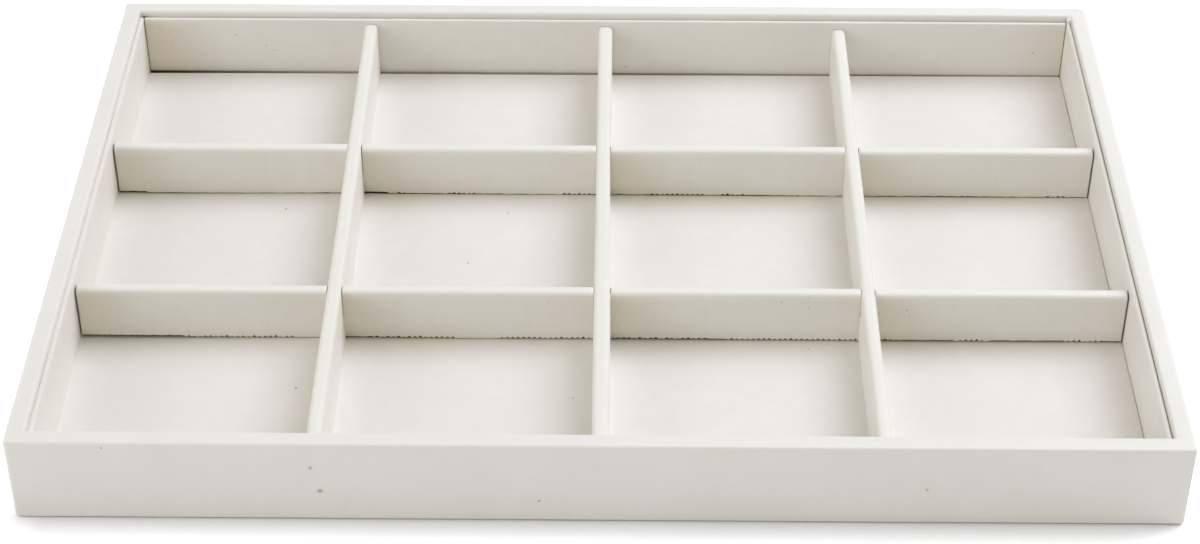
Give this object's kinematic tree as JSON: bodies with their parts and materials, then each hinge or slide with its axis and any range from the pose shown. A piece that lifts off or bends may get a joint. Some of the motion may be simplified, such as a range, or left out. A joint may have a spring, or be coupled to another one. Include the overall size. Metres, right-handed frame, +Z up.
{
  "type": "jewelry tray",
  "caption": "Shallow leatherette-wrapped display tray with an open top, a raised rim, thin liners and a lift-out grid of crossing dividers that form a block of cells.",
  "frame": {"origin": "centre of the underside, on the surface that the tray rests on", "axes": "+X to the tray's right along its long side, +Y to the back, +Z up"},
  "size_m": [0.35, 0.24, 0.03],
  "materials": {
    "backing_paper": "matte paper-backed felt",
    "frame_fibreboard": "raw fibreboard",
    "liner_card": "raw grey card",
    "divider_fibreboard": "raw fibreboard",
    "frame_leatherette": "matte cream leatherette",
    "liner_leatherette": "matte cream leatherette",
    "divider_leatherette": "matte cream leatherette"
  },
  "bodies": {
    "tray": {"underside_sheet": "backing_paper", "base_panel": "frame_fibreboard", "front_frame_board": "frame_fibreboard", "back_frame_board": "frame_fibreboard", "left_frame_board": "frame_fibreboard", "right_frame_board": "frame_fibreboard", "frame_cover": "frame_leatherette", "front_liner_board": "liner_card", "back_liner_board": "liner_card", "left_liner_board": "liner_card", "right_liner_board": "liner_card", "front_liner_cover": "liner_leatherette", "back_liner_cover": "liner_leatherette", "left_liner_cover": "liner_leatherette", "right_liner_cover": "liner_leatherette", "floor_board": "liner_card", "floor_cover": "liner_leatherette"},
    "row_dividers": {"row_divider_1_core": "divider_fibreboard", "row_divider_1_cover": "divider_leatherette", "row_divider_2_core": "divider_fibreboard", "row_divider_2_cover": "divider_leatherette"},
    "column_divider_1": {"column_divider_1_core": "divider_fibreboard", "column_divider_1_cover": "divider_leatherette"},
    "column_divider_2": {"column_divider_2_core": "divider_fibreboard", "column_divider_2_cover": "divider_leatherette"},
    "column_divider_3": {"column_divider_3_core": "divider_fibreboard", "column_divider_3_cover": "divider_leatherette"}
  },
  "joints": [
    {"name": "divider_grid_lift", "type": "slide", "parent": "tray", "child": "row_dividers", "axis": [0, 0, 1], "range_m": [0, 0.04]},
    {"name": "column_divider_1_lift", "type": "slide", "parent": "row_dividers", "child": "column_divider_1", "axis": [0, 0, 1], "range_m": [0, 0.04]},
    {"name": "column_divider_2_lift", "type": "slide", "parent": "row_dividers", "child": "column_divider_2", "axis": [0, 0, 1], "range_m": [0, 0.04]},
    {"name": "column_divider_3_lift", "type": "slide", "parent": "row_dividers", "child": "column_divider_3", "axis": [0, 0, 1], "range_m": [0, 0.04]}
  ]
}
